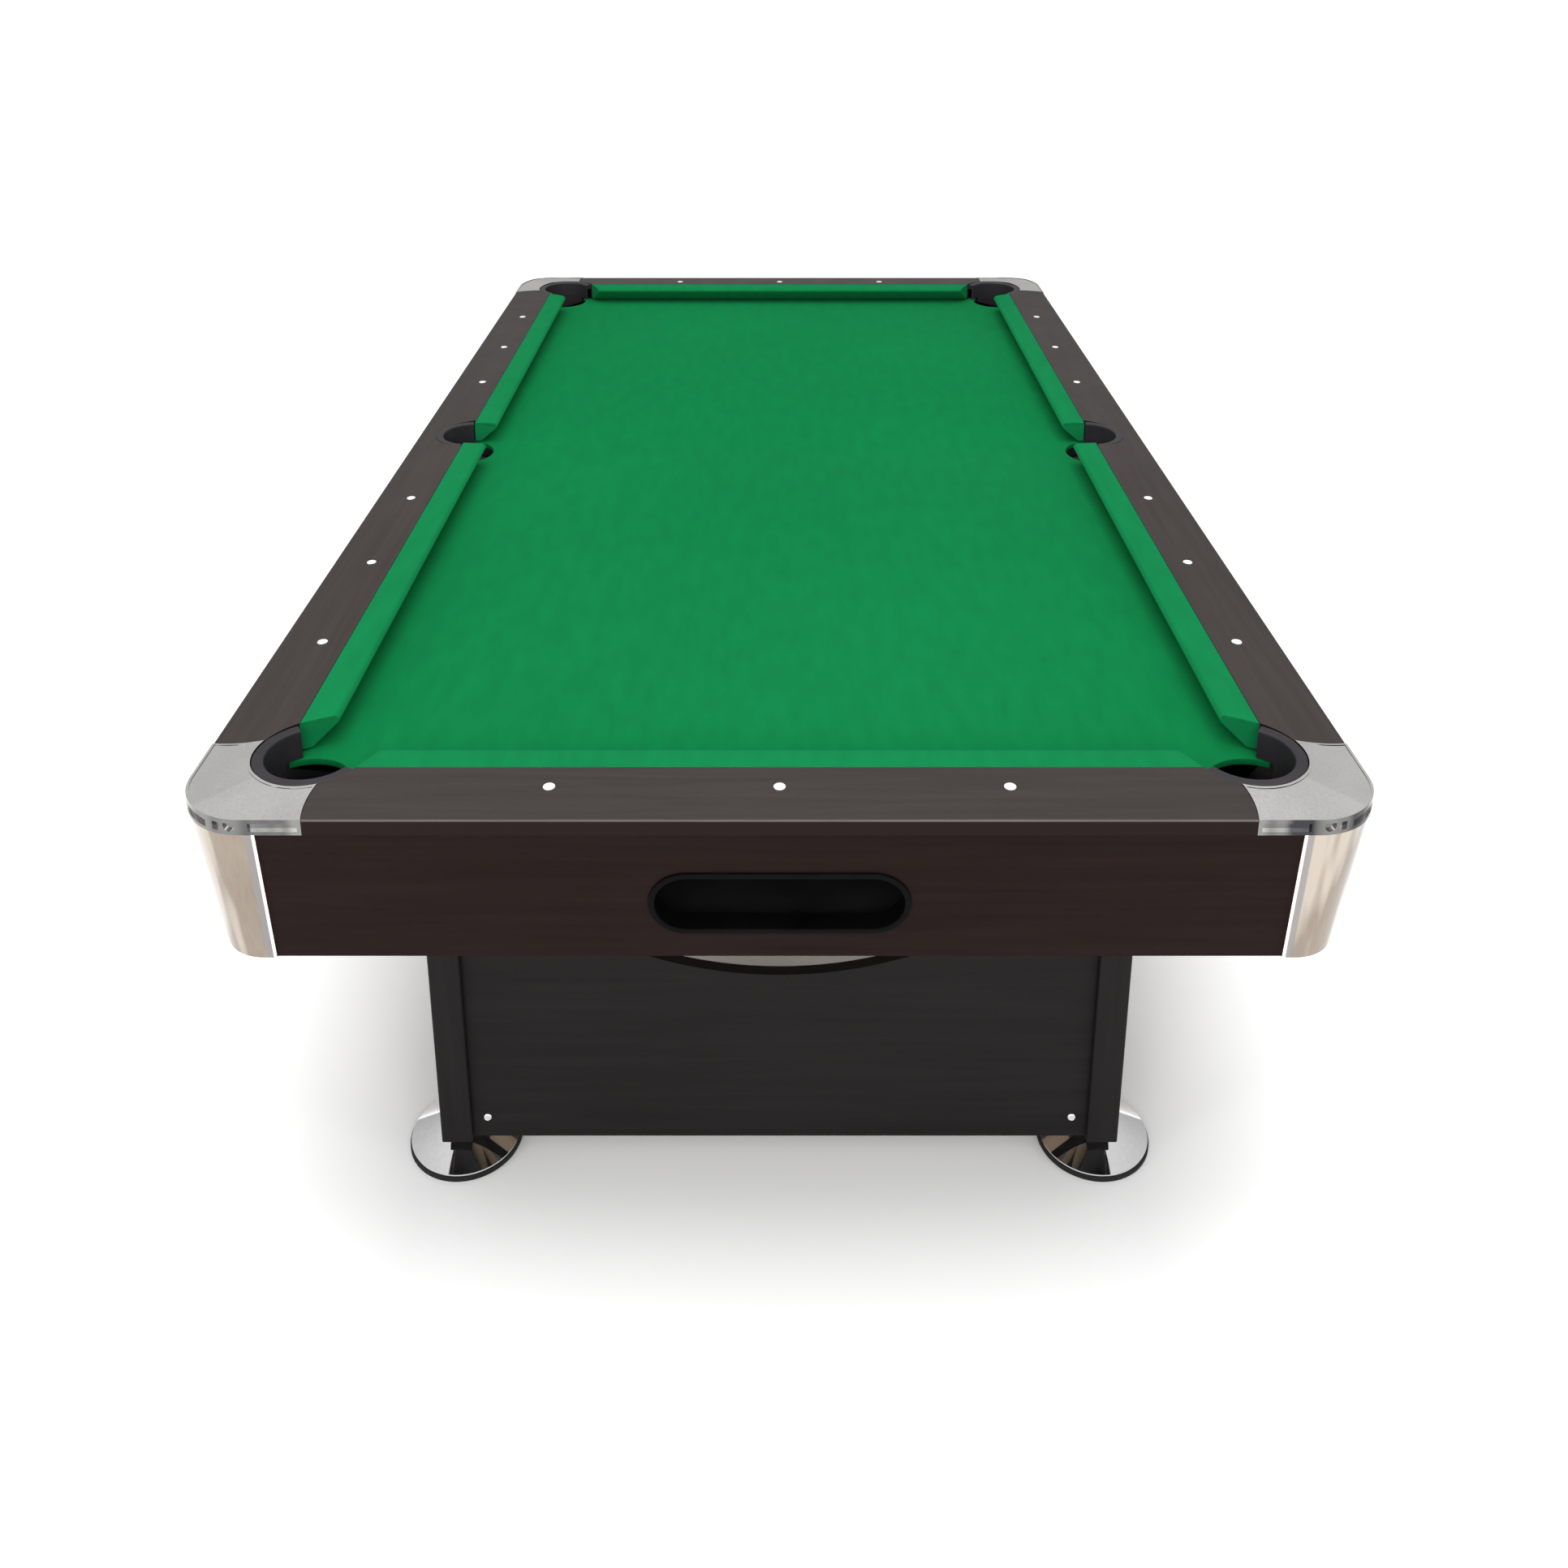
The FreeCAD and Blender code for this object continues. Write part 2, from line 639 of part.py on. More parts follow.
def returnBezel():
    body = newBody("return_bezel")
    flange = 2 * size["bezelFlange"]
    inner = stadium(size["slotWidth"], size["slotHeight"], asSize(0))
    rim = stadium(size["slotWidth"] + flange, size["slotHeight"] + flange, asSize(0))
    wall = 2 * size["bezelWall"]
    tube = stadium(size["slotWidth"] + wall, size["slotHeight"] + wall, asSize(0))
    pad(body, "XZ_Plane", [rim, inner], -size["bezelProud"], 0)
    pad(body, "XZ_Plane", [tube, inner], 0, size["bezelDepth"])
    face = -size["bezelProud"]

    def proudEdge(edge):
        return near(edge.BoundBox.YMin, face) and near(edge.BoundBox.YMax, face)

    roundEdges(body, size["bezelRound"], proudEdge)
    tilt = leanAngle(size["apronLean"], skirtTop - size["apronBottom"])
    seat = apronFace(outerY, size["slotCentre"]) + size["bezelSeat"]
    place(body, 0, -seat, size["slotCentre"], tilt, (1, 0, 0))
    return body


def cornerBand(reach, inset, lean, thickness, radius):
    # an L-shaped band round the front left corner, set in from the table's outer faces
    faceX = outerX - inset - lean
    faceY = outerY - inset - lean
    endX = outerX - reach
    endY = outerY - reach
    turn = radius - thickness
    bendX = faceX - radius
    bendY = faceY - radius
    backX = faceX - thickness
    backY = faceY - thickness
    return [(-endX, -faceY), (-bendX, -faceY, radius, -1), (-faceX, -bendY), (-faceX, -endY),
            (-backX, -endY), (-backX, -bendY, turn, 1), (-bendX, -backY), (-endX, -backY)]


def cornerShell(label, reach, inset, thickness, radius, low, high):
    # leans with the aprons, and its bend tightens towards the bottom
    body = newBody(label)
    fall = skirtTop - size["apronBottom"]
    sections = []
    for level in (high, low):
        lean = size["apronLean"] * (skirtTop - level) / fall
        sections.append((level, cornerBand(reach, inset, lean, thickness, radius - lean)))
    loft(body, "AdditiveLoft", "XY_Plane", sections)
    return body


def cornerShrouds():
    inset = size["apronSetIn"] - size["shroudThickness"]
    radius = size["cornerRadius"] - inset
    high = skirtTop - size["shroudGap"]
    shell = cornerShell("corner_shroud_front_left", size["shroudReach"], inset, size["shroudThickness"],
                        radius, size["apronBottom"], high)
    return fourCorners(shell, "corner_shroud")


def cornerBrackets():
    inset = size["apronSetIn"] + size["apronThickness"]
    radius = size["cornerRadius"] - inset
    margin = size["bracketInset"]
    runTop = size["gutterFront"] + size["gutterSide"]
    shell = cornerShell("bracket_front_left", size["bracketReach"], inset, size["bracketThickness"],
                        radius, runTop + margin, skirtTop - margin)
    return gather("corner_brackets", fourCorners(shell, "bracket"))


def capOutline(inset):
    # the plan of a corner casting, drawn in by a wall's thickness
    faceX = outerX - inset
    faceY = outerY - inset
    radius = size["cornerRadius"] - inset
    clear = rimOuter + size["fitGap"] + inset
    endX = capX + inset
    endY = capY + inset
    bendX = faceX - radius
    bendY = faceY - radius
    meetX = capMeeting(endY, cornerY, cornerX, clear)
    meetY = capMeeting(endX, cornerX, cornerY, clear)
    bow = size["capEndRadius"]
    return [(-endX, -faceY), (-bendX, -faceY, radius, -1), (-faceX, -bendY), (-faceX, -endY, bow, 1),
            (-meetX, -endY, clear, 1), (-endX, -meetY, bow, 1)]


def capShell(label, high):
    # the casting's full outline, hollow below, with its top falling with both rails
    body = newBody(label)
    pad(body, "XY_Plane", [capOutline(asSize(0))], skirtTop, high)
    pocket(body, "XY_Plane", [capOutline(size["capWall"])], skirtTop, top - size["capPlate"])
    fall = size["railFall"]
    beyond = size["railWidth"]
    for plane, inner, far in (("XZ_Plane", railX, outerY), ("YZ_Plane", railY, outerX)):
        slope = [(-inner, high), (-(inner + beyond), high - fall), (-(inner + 2 * beyond), high - 2 * fall),
                 (-(inner + 2 * beyond), high + past), (-inner, high + past)]
        pocket(body, plane, [slope], -far, 0)
    return body


def bendWindow(label, angle, sweep):
    # a window that follows the bend, turned about its centre
    body = newBody(label)
    low = skirtTop + size["windowSill"]
    radius = size["cornerRadius"]
    outline = rectangle(radius - size["windowDepth"], low, radius + past, low + size["windowHeight"])
    revolve(body, outline, sweep)
    place(body, size["cornerRadius"] - outerX, size["cornerRadius"] - outerY, 0, angle)
    return body


def archedWindow(label, turn):
    # a short window with a round bottom, square to the bend
    body = newBody(label)
    low = skirtTop + size["windowSill"]
    high = low + size["windowHeight"]
    half = size["archedWidth"] / 2
    outline = [(-half, low + half, half, 1), (0, low, half, 1), (half, low + half), (half, high),
               (-half, high)]
    radius = size["cornerRadius"]
    pad(body, "XZ_Plane", [outline], -(radius + past), -(radius - size["windowDepth"]))
    place(body, radius - outerX, radius - outerY, 0, turn)
    return body


def straightWindow(label, plane, cap, face):
    body = newBody(label)
    low = skirtTop + size["windowSill"]
    start = cap + size["windowEnd"]
    outline = rectangle(-(start + size["windowLength"]), low, -start, low + size["windowHeight"])
    pad(body, plane, [outline], -(face + past), -(face - size["windowDepth"]))
    return body


def capWindows():
    # the same row of windows runs both ways from the middle of the corner
    middle = size["cornerTurn"]
    front = middle + size["halfCorner"]
    side = middle - size["halfCorner"]
    square = size["squareAngle"]
    arched = size["archedAngle"]
    windows = [straightWindow("front_window", "XZ_Plane", capX, outerY),
               straightWindow("side_window", "YZ_Plane", capY, outerX),
               archedWindow("front_arch", -arched),
               archedWindow("side_arch", arched - 2 * size["halfCorner"]),
               bendWindow("front_square", front - square, size["squareSweep"]),
               bendWindow("side_square", side + square, size["squareSweep"]),
               bendWindow("corner_window", middle, size["cornerSweep"])]
    return gather("cap_windows", windows)


def cornerCap():
    # the top is sunk inside a raised bead that follows the whole outline
    raised = capShell("raised_cap", top + size["capRise"])
    sunk = capShell("sunk_cap", top + size["capRise"] - size["beadHeight"])
    field = newBody("cap_field")
    high = top + size["capRise"] + past
    pad(field, "XY_Plane", [capOutline(size["beadWidth"])], top - size["capPlate"], high)
    beaded = subtract("beaded_cap", raised, subtract("field_above", field, sunk))
    return subtract("corner_cap_front_left", beaded, capWindows())


def ballGutter(label):
    # a sloping channel beside each side beam, lower at the front
    body = newBody(label)
    wall = size["gutterWall"]
    back = cornerY + gutterHalf
    front = runBack - size["fitGap"]
    slope = (size["gutterBack"] - size["gutterFront"]) / (back + front)
    lowFront = size["gutterFront"]
    lowBack = size["gutterBack"]
    side = size["gutterSide"]
    outline = [(-front, lowFront - wall), (back + wall, lowBack - wall), (back + wall, lowBack + side),
               (-front, lowFront + side)]
    pad(body, "YZ_Plane", [outline], -(gutterX + gutterOuterHalf), -(gutterX - gutterOuterHalf))
    mouth = front + size["gutterWidth"]
    inside = [(-mouth, lowFront - slope * size["gutterWidth"]), (back, lowBack),
              (back, lowBack + side + past), (-mouth, lowFront + side + past)]
    pocket(body, "YZ_Plane", [inside], -(gutterX + gutterHalf), -(gutterX - gutterHalf))
    return body


def frontRun():
    # takes the balls from a side gutter across the front to the tray
    body = newBody("left_run")
    wall = size["gutterWall"]
    far = gutterX + gutterHalf
    end = size["trayWidth"] / 2 + size["fitGap"]
    high = size["gutterFront"] - size["fitGap"] - wall / 2
    low = size["runLow"]
    side = size["gutterSide"]
    outline = [(-(far + wall), high - wall), (-end, low - wall), (-end, low + side),
               (-(far + wall), high + side)]
    pad(body, "XZ_Plane", [outline], -runFront, -runBack)
    inside = [(-far, high), (past - end, low), (past - end, low + side + past), (-far, high + side + past)]
    pocket(body, "XZ_Plane", [inside], -(runFront - wall), -(runBack + wall))
    mouth = rectangle(-far, high, -(gutterX - gutterHalf), high + side + past)
    pocket(body, "XZ_Plane", [mouth], -(runBack + wall + past), -(runBack - past))
    return body


def ballTray():
    body = newBody("ball_tray")
    half = size["trayWidth"] / 2
    wall = size["trayWall"]
    floor = size["trayFloor"]
    back = runFront - size["trayDepth"]
    pad(body, "XY_Plane", [rectangle(-half, -runFront, half, -back)], floor - wall, floor)
    sides = [rectangle(side * half, -(runBack - wall), side * (half - wall), -back) for side in (-1, 1)]
    pad(body, "XY_Plane", sides, floor, size["trayRim"])
    backWall = rectangle(-(half - wall), -(back + wall), half - wall, -back)
    pad(body, "XY_Plane", [backWall], floor, size["trayRim"])
    lip = rectangle(-half, -runFront, half, -(runFront - wall))
    pad(body, "XY_Plane", [lip], floor, floor + size["trayLip"])
    return body


def sideBeams():
    body = newBody("left_beam")
    end = cornerY - size["pocketBore"] - size["linerWall"] - size["sideBeamEnd"]
    outer = sideBeamX
    inner = outer - size["sideBeamThickness"]
    pad(body, "XY_Plane", [rectangle(-outer, -end, -inner, end)], ribUnder, plankUnder)
    clear = size["pocketBore"] + size["linerWall"] + size["looseGap"]
    pocket(body, "XY_Plane", [(-sideX, 0, clear)], ribUnder, plankUnder)
    return gather("side_beams", leftAndRight(body, "beam"))


def crossBeams():
    # planks that carry the slab, each with a deeper rib between the side beams
    plankEnd = apronFace(outerX, plankUnder) - size["apronThickness"] - size["fitGap"]
    ribEnd = sideBeamX - size["sideBeamThickness"]
    section = [(-plankEnd, slabUnder), (-plankEnd, plankUnder), (-ribEnd, plankUnder), (-ribEnd, ribUnder),
               (ribEnd, ribUnder), (ribEnd, plankUnder), (plankEnd, plankUnder), (plankEnd, slabUnder)]
    half = size["beamWidth"] / 2
    pieces = []
    for name, middle in (("front_beam", legY), ("middle_beam", size["midBeam"])):
        body = newBody(name)
        pad(body, "XZ_Plane", [section], -middle - half, -middle + half)
        pieces += [body, mirror(body, name + "_back", (0, 1, 0))]
    return gather("cross_beams", pieces)


def legPost():
    body = newBody("leg_post_front_left")
    back = legFront - size["legDepth"]
    outline = rectangle(-size["legSpread"], -legFront, -legInner, -back)
    pad(body, "XY_Plane", [outline], size["legBottom"], ribUnder)
    roundEdges(body, size["legRound"], lambda edge: edge.Length > size["legDepth"].value * 2)
    low = size["legBottom"]
    pocket(body, "XY_Plane", [(-legX, -legY, size["insertRadius"])], low, low + size["insertHeight"])
    stemHole = size["stemRadius"] + size["looseGap"]
    pocket(body, "XY_Plane", [(-legX, -legY, stemHole)], low, low + size["stemReach"] + size["stemRoom"])
    return body


def endPanel():
    body = newBody("end_panel_front")
    rise = size["archLow"] + size["archRadius"]
    shoulder = rise - root(size["archRadius"] * size["archRadius"] - legInner * legInner)
    outline = [(-legInner, size["legBottom"]), (legInner, size["legBottom"]),
               (legInner, shoulder, size["archRadius"], -1), (-legInner, shoulder)]
    pad(body, "XZ_Plane", [outline], -panelFront, -panelBack)
    pocket(body, "XZ_Plane", boltCircles(size["boltRadius"] + size["boltGap"]), -panelFront, -panelBack)
    return body


def boltCircles(radius):
    heights = (size["boltLow"], size["boltHigh"])
    return [(side * boltX, height, radius) for side in (-1, 1) for height in heights]


def panelCleats():
    # battens in the corners behind the end panels
    body = newBody("front_cleats")
    back = panelBack - size["cleatDepth"]
    inner = legInner - size["cleatWidth"]
    outlines = [rectangle(side * inner, -panelBack, side * legInner, -back) for side in (-1, 1)]
    pad(body, "XY_Plane", outlines, size["cleatLow"], size["cleatHigh"])
    pocket(body, "XZ_Plane", boltCircles(size["boltRadius"] + size["boltGap"]), -panelBack, -back)
    return gather("panel_cleats", [body, mirror(body, "back_cleats", (0, 1, 0))])


def panelBolts():
    body = newBody("front_bolts")
    head = panelFront + size["boltHeadHeight"]
    end = panelBack - size["cleatDepth"]
    pad(body, "XZ_Plane", boltCircles(size["boltHead"]), -head, -panelFront)
    pad(body, "XZ_Plane", boltCircles(size["boltRadius"]), -panelFront, -end)
    roundEdges(body, size["boltDome"], lambda edge: near(edge.BoundBox.YMax, -head))
    return gather("panel_bolts", [body, mirror(body, "back_bolts", (0, 1, 0))])


def atFoot(body):
    place(body, -legX, -legY, 0)
    return body


def footDish():
    # a pressed conical dish with a thick hub, resting on the pad
    body = newBody("foot_dish_front_left")
    low = size["padHeight"]
    hubTop = size["legBottom"] - size["fitGap"]
    hubLow = hubTop - size["hubHeight"]
    outer = size["footRadius"]
    hub = size["hubRadius"]
    wall = size["dishWall"]
    bore = size["stemRadius"] + size["runningGap"]
    revolve(body, [(bore, hubLow), (hub - wall, hubLow), (outer - 2 * wall, low), (outer, low),
                   (outer, low + size["dishEdge"]), (hub, hubTop - wall), (hub - wall, hubTop),
                   (bore, hubTop)])
    return atFoot(body)


def footPad():
    # a rubber disc with a low boss under the stem
    body = newBody("foot_pad_front_left")
    outer = size["padRadius"]
    high = size["padHeight"]
    soft = size["padRound"]
    revolve(body, [(0, 0), (outer - soft, 0, soft, 1), (outer, soft), (outer, high - soft, soft, 1),
                   (outer - soft, high), (0, high)])
    return atFoot(body)


def footStem():
    # the threaded stem, whose flange is captive under the dish's hub
    body = newBody("foot_stem_front_left")
    hubLow = size["legBottom"] - size["fitGap"] - size["hubHeight"]
    flangeTop = hubLow - size["fitGap"]
    flange = size["stemFlange"]
    flangeLow = flangeTop - size["flangeHeight"]
    radius = size["stemRadius"]
    end = size["legBottom"] + size["stemReach"]
    bevel = size["stemChamfer"]
    revolve(body, [(0, flangeLow), (flange, flangeLow), (flange, flangeTop), (radius, flangeTop),
                   (radius, end - bevel), (radius - bevel, end), (0, end)])
    return atFoot(body)


def legInsert():
    body = newBody("insert_front_left")
    low = size["legBottom"]
    bore = size["stemRadius"] + size["runningGap"]
    revolve(body, rectangle(bore, low, size["insertRadius"], low + size["insertHeight"]))
    return atFoot(body)


def buildTable():
    nodes = [bedSlab(), bedCloth(), sideBeams(), crossBeams(), cornerBrackets(), railBolts(), railSights()]
    front = railFront()
    nodes += [front, mirror(front, "rail_back", (0, 1, 0))] + leftAndRight(railLeft(), "rail")
    nodes += cushions()
    nodes += aprons()
    nodes += cornerShrouds()
    nodes += fourCorners(cornerCap(), "corner_cap")
    nodes += pocketLiners()
    nodes.append(returnBezel())
    nodes += leftAndRight(ballGutter("ball_gutter_left"), "ball_gutter")
    nodes.append(gather("front_runs", leftAndRight(frontRun(), "run")))
    nodes.append(ballTray())
    nodes += fourCorners(legPost(), "leg_post")
    panel = endPanel()
    nodes += [panel, mirror(panel, "end_panel_back", (0, 1, 0)), panelCleats(), panelBolts()]
    nodes += fourCorners(footDish(), "foot_dish")
    nodes += fourCorners(footPad(), "foot_pad")
    nodes += fourCorners(footStem(), "foot_stem")
    nodes.append(gather("leg_inserts", fourCorners(legInsert(), "insert")))
    return nodes


def checkAndExport(nodes):
    doc.recompute()
    for item in doc.Objects:
        if "Invalid" in item.State or "Error" in item.State:
            raise RuntimeError("%s failed: %s" % (item.Label, item.State))
    for feature in pockets:
        if feature.Shape.Volume >= feature.BaseFeature.Shape.Volume:
            raise RuntimeError(feature.Label + " removed nothing")
    for node in nodes:
        if node.Shape.isNull() or not node.Shape.isValid():
            raise RuntimeError(node.Label + " has a bad shape")
    os.makedirs("parts", exist_ok=True)
    for node in nodes:
        node.Shape.exportStep("parts/%s.step" % node.Label)
        print(node.Label, len(node.Shape.Solids), round(node.Shape.Volume / 1000))
    print(len(nodes), "nodes")


checkAndExport(buildTable())
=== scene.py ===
import math

import bpy
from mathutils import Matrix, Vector


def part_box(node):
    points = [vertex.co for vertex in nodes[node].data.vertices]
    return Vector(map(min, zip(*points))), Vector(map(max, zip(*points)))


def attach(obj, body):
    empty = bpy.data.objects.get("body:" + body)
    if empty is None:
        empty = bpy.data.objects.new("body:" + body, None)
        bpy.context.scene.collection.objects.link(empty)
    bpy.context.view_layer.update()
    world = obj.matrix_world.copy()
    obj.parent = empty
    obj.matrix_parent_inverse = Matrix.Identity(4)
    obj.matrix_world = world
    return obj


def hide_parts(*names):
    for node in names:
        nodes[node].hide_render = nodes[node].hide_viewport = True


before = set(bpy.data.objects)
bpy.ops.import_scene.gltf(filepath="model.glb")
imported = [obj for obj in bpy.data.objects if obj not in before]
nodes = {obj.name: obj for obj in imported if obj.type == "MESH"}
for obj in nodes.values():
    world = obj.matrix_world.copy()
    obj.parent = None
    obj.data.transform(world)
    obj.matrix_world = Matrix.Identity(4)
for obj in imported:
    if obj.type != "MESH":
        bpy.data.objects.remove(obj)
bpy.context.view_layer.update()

corners = ("front_left", "front_right", "back_left", "back_right")
# middles of the holes in the bed, for one corner and one side
pocketCuts = {"corner": (0.60273, 1.16273, 0), "side": (0.642, 0, 0)}
print("frame loaded:", len(nodes), "nodes")

studio = {
    "floorReach": 30.0, "floorDrop": 0.0004, "floorColour": (0.94, 0.94, 0.94, 1), "floorRoughness": 0.6,
    # the floor's glow, none within shadeHalf, then rising by two shares over two spans of distance from
    # there, which paints a shadow round the table
    "floorGlow": 0.46, "shadeHalf": (0.45, 0.85, 0),
    "glowSteps": ((0.66, 0.14, 0.46), (0.34, 2.0, 9.0)),
    # what the camera sees behind the table, and what lights it: brighter overhead than at the horizon
    "backdrop": 1.0, "skyHorizon": 0.46, "skyZenith": 0.78,
    "eye": (0.0, -2.761, 1.827), "tiltDown": 16.97, "lens": 33.5, "shift": (0.0028, -0.28),
    # each lamp: place, aim, size across and along, power in watts
    "lamps": {
        "overhead": ((0.0, -0.2, 4.4), (0.0, 0.0, 0.8), 3.6, 4.6, 105),
        "frontSoftbox": ((0.0, -4.8, 2.7), (0.0, -1.2, 0.1), 4.4, 1.4, 95),
        "leftSoftbox": ((-3.6, -3.4, 1.9), (-0.4, -1.0, 0.6), 0.7, 2.4, 26),
        "rightSoftbox": ((3.9, -3.0, 1.9), (0.4, -1.0, 0.6), 0.6, 2.4, 20),
    },
}


def deselect():
    if bpy.context.object and bpy.context.object.mode != "OBJECT":
        bpy.ops.object.mode_set(mode="OBJECT")
    bpy.ops.object.select_all(action="DESELECT")


def pick(item):
    deselect()
    item.select_set(True)
    bpy.context.view_layer.objects.active = item


def aimAt(item, target):
    away = Vector(target) - item.location
    item.rotation_euler = away.to_track_quat("-Z", "Y").to_euler()


def makeSky(scene):
    world = bpy.data.worlds.new("studioSky")
    scene.world = world
    world.use_nodes = True
    tree = world.node_tree
    look = tree.nodes.new("ShaderNodeTexCoord")
    upward = tree.nodes.new("ShaderNodeSeparateXYZ")
    fade = tree.nodes.new("ShaderNodeMapRange")
    path = tree.nodes.new("ShaderNodeLightPath")
    either = tree.nodes.new("ShaderNodeMix")
    sky = tree.nodes["Background"]
    sky.inputs["Color"].default_value = (1, 1, 1, 1)
    fade.inputs["To Min"].default_value = studio["skyHorizon"]
    fade.inputs["To Max"].default_value = studio["skyZenith"]
    either.inputs["B"].default_value = studio["backdrop"]
    tree.links.new(look.outputs["Generated"], upward.inputs[0])
    tree.links.new(upward.outputs["Z"], fade.inputs["Value"])
    tree.links.new(path.outputs["Is Camera Ray"], either.inputs["Factor"])
    tree.links.new(fade.outputs[0], either.inputs["A"])
    tree.links.new(either.outputs[0], sky.inputs["Strength"])


def makeStudio():
    scene = bpy.context.scene
    scene.view_settings.view_transform = "Standard"
    deselect()
    bpy.ops.object.camera_add(location=studio["eye"])
    camera = bpy.context.object
    camera.rotation_euler = (math.radians(90 - studio["tiltDown"]), 0, 0)
    camera.data.lens = studio["lens"]
    camera.data.shift_x, camera.data.shift_y = studio["shift"]
    camera.data.clip_end = 100
    scene.camera = camera
    for name, (spot, aim, across, along, power) in studio["lamps"].items():
        bpy.ops.object.light_add(type="AREA", location=spot)
        lamp = bpy.context.object
        lamp.name = name
        lamp.data.shape = "RECTANGLE"
        lamp.data.size = across
        lamp.data.size_y = along
        lamp.data.energy = power
        aimAt(lamp, aim)
    makeSky(scene)
    bpy.ops.mesh.primitive_grid_add(x_subdivisions=8, y_subdivisions=8, size=2 * studio["floorReach"],
                                    location=(0, 0, -studio["floorDrop"]))
    floor = bpy.context.object
    floor.name = "studioFloor"
    return floor


class Wire:
    # one output of a node, so that patterns add, subtract and multiply as plain arithmetic
    def __init__(self, finish, socket):
        self.finish = finish
        self.socket = socket

    def __add__(self, other):
        return self.finish.maths("ADD", self, other)

    def __sub__(self, other):
        return self.finish.maths("SUBTRACT", self, other)

    def __rsub__(self, other):
        return self.finish.maths("SUBTRACT", other, self)

    def __mul__(self, other):
        return self.finish.maths("MULTIPLY", self, other)

    __radd__ = __add__
    __rmul__ = __mul__


class Finish:
    def __init__(self, name, plain):
        self.material = bpy.data.materials.new(name)
        self.material.use_nodes = True
        self.tree = self.material.node_tree
        self.shader = self.tree.nodes["Principled BSDF"]
        self.set(plain)

    def set(self, values):
        for socket, value in values.items():
            self.join(self.shader.inputs[socket], value)

    def join(self, socket, value):
        if isinstance(value, Wire):
            self.tree.links.new(value.socket, socket)
        else:
            socket.default_value = value

    def node(self, kind, settings, inputs, output=0):
        made = self.tree.nodes.new(kind)
        for name, value in settings.items():
            setattr(made, name, value)
        for socket, value in inputs.items():
            self.join(made.inputs[socket], value)
        return Wire(self, made.outputs[output])

    def maths(self, operation, first, second=0.0):
        return self.node("ShaderNodeMath", {"operation": operation}, {0: first, 1: second})

    def vector(self, operation, first, second=(0, 0, 0), output="Vector"):
        return self.node("ShaderNodeVectorMath", {"operation": operation}, {0: first, 1: second}, output)

    def along(self, vector, axis):
        return self.node("ShaderNodeSeparateXYZ", {}, {0: vector}, axis)

    def place(self, stretch=(1, 1, 1)):
        here = self.node("ShaderNodeTexCoord", {}, {}, "Object")
        return self.node("ShaderNodeMapping", {}, {"Vector": here, "Scale": stretch})

    def mirrored(self, stretch=(1, 1, 1)):
        # the place folded into one quarter, for what is the same at every corner
        return self.vector("ABSOLUTE", self.place(stretch))

    def upward(self):
        return self.along(self.node("ShaderNodeNewGeometry", {}, {}, "Normal"), "Z")

    def noise(self, scale, detail=3.0, stretch=(1, 1, 1), warp=0.0):
        inputs = {"Vector": self.place(stretch), "Scale": scale, "Detail": detail, "Distortion": warp}
        return self.node("ShaderNodeTexNoise", {}, inputs)

    def cells(self, scale):
        inputs = {"Vector": self.place(), "Scale": scale}
        return self.node("ShaderNodeTexVoronoi", {"feature": "SMOOTH_F1"}, inputs)

    def threads(self, direction, scale, wander):
        settings = {"wave_type": "BANDS", "bands_direction": direction}
        inputs = {"Vector": self.place(), "Scale": scale, "Distortion": wander, "Detail": 2.0}
        return self.node("ShaderNodeTexWave", settings, inputs, "Fac")

    def spread(self, value, low, high, start=0.3, end=0.7):
        inputs = {"Value": value, "From Min": start, "From Max": end, "To Min": low, "To Max": high}
        return self.node("ShaderNodeMapRange", {}, inputs)

    def blend(self, factor, first, second):
        return self.node("ShaderNodeMix", {"data_type": "RGBA"}, {0: factor, 6: first, 7: second}, 2)

    def bump(self, height, strength, distance):
        self.set({"Normal": self.node("ShaderNodeBump", {}, {"Height": height, "Strength": strength,
                                                             "Distance": distance})})


def solid(colour, factor=1.0):
    return tuple(channel * factor for channel in colour) + (1,)


baize = {"fibreScale": 1100, "threadScale": 210, "shadeScale": 1.7, "napScale": 46, "bump": 0.35,
         "depth": 0.0004, "sheenTint": (0.12, 0.8, 0.35, 1)}
baizeColours = {"bedBaize": (0.0042, 0.170, 0.0480), "cushionBaize": (0.006, 0.184, 0.0585)}


def makeBaize(name, colour):
    # napped wool: fine crossing threads under a brushed pile, with slow shade drifts over the cloth
    cloth = Finish(name, {"Sheen Weight": 0.06, "Sheen Roughness": 0.5, "Sheen Tint": baize["sheenTint"],
                          "Specular IOR Level": 0.01})
    fibre = cloth.noise(baize["fibreScale"], 3.0, (1, 0.45, 1))
    nap = cloth.noise(baize["napScale"], 4.0, (1, 0.3, 1))
    drift = cloth.noise(baize["shadeScale"], 2.0)
    weave = cloth.threads("X", baize["threadScale"], 0.6) * cloth.threads("Y", baize["threadScale"], 0.6)
    pile = fibre * 0.7 + weave * 0.3
    tone = cloth.spread(nap * 0.45 + drift * 0.3 + fibre * 0.25, 0, 1, 0.36, 0.64)
    base = cloth.blend(tone, solid(colour, 0.91), solid(colour, 1.09))
    flecked = cloth.blend(cloth.spread(pile, 0, 0.22, 0.62, 0.8), base, solid(colour, 1.6))
    cloth.set({"Base Color": flecked, "Roughness": cloth.spread(nap, 0.88, 1.0)})
    cloth.bump(pile, baize["bump"], baize["depth"])
    return cloth
